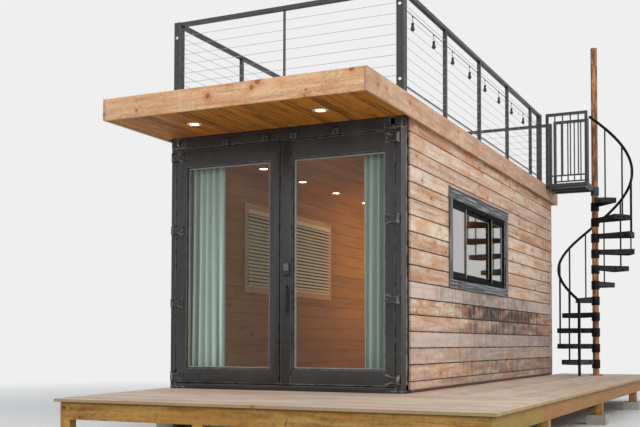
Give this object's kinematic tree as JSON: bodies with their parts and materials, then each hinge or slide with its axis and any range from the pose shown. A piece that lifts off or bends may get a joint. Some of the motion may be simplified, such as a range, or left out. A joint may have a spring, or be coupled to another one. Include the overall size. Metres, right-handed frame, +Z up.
{
  "type": "shipping container cabin",
  "caption": "Cabin in a shipping container with glazed double doors, board cladding, a railed roof terrace, a spiral stair and a raised deck along its front and side.",
  "frame": {"origin": "on the ground under the middle of the whole cabin, stair and deck included", "axes": "+Z up, +Y from the glazed doors towards the back, +X towards the side with the stair and the long deck"},
  "size_m": [3.908, 8.71, 5.03],
  "materials": {
    "charcoal_steel": "satin paint, scuffed",
    "rail_steel": "satin paint",
    "stair_steel": "satin black paint",
    "rusty_pipe": "orange brown weathered pipe",
    "cedar": "oiled cedar boards, weathered low down",
    "fascia_wood": "clear finish",
    "soffit_wood": "warm stain",
    "roof_wood": "bare boards",
    "deck_wood": "pale weathered boards",
    "treated_pine": "yellow treated pine",
    "concrete": "cast concrete",
    "trim_paint": "slate grey paint",
    "window_frame": "dark green grey",
    "glass": "clear double glazing",
    "wall_boards": "pale planks",
    "ceiling_boards": "warm planks",
    "floor_boards": "varnished",
    "lamp_lens": "frosted lens in a pale ring",
    "blind_slats": "cream slats",
    "curtain_cloth": "plain weave",
    "dark_fittings": "satin",
    "festoon_lights": "dark moulded sockets and smoky bulbs"
  },
  "bodies": {
    "root": {"corner_castings": "charcoal_steel", "corner_posts": "charcoal_steel", "base_frame": "charcoal_steel", "door_sill": "charcoal_steel", "door_header": "charcoal_steel", "top_rails": "charcoal_steel", "steel_walls": "charcoal_steel", "steel_roof": "charcoal_steel", "roof_rail_front": "rail_steel", "roof_rail_left": "rail_steel", "roof_rail_right": "rail_steel", "roof_rail_rear": "rail_steel", "landing": "rail_steel", "landing_rail": "rail_steel", "stair_treads": "stair_steel", "stair_handrail": "stair_steel", "stair_balusters": "stair_steel", "stair_pole": "rusty_pipe", "cladding_left": "cedar", "cladding_right": "cedar", "cladding_rear": "cedar", "roof_fascia": "fascia_wood", "roof_soffit": "soffit_wood", "roof_boards": "roof_wood", "roof_joists": "roof_wood", "deck_boards": "deck_wood", "deck_frame": "treated_pine", "support_stubs": "treated_pine", "concrete_blocks": "concrete", "window_trim": "trim_paint", "window_frames": "window_frame", "window_glass": "glass", "lining_left": "wall_boards", "lining_right": "wall_boards", "lining_rear": "wall_boards", "ceiling": "ceiling_boards", "floor": "floor_boards", "recessed_lights": "lamp_lens", "window_blind": "blind_slats", "curtain_left": "curtain_cloth", "curtain_right": "curtain_cloth", "curtain_rod": "dark_fittings", "light_lead": "festoon_lights", "string_lights": "festoon_lights"},
    "left_door": {"door_left_frame": "charcoal_steel", "door_left_glass": "glass"},
    "right_door": {"door_right_frame": "charcoal_steel", "door_right_glass": "glass", "door_lock": "dark_fittings", "door_handle": "dark_fittings"}
  },
  "joints": [
    {"name": "right_door_hinge", "type": "hinge", "parent": "root", "child": "right_door", "pos_m": [0.538, -2.417, 1.59], "axis": [0, 0, 1], "range_deg": [0, 180]},
    {"name": "left_door_hinge", "type": "hinge", "parent": "root", "child": "left_door", "pos_m": [-1.844, -2.417, 1.59], "axis": [0, 0, -1], "range_deg": [0, 180]}
  ]
}
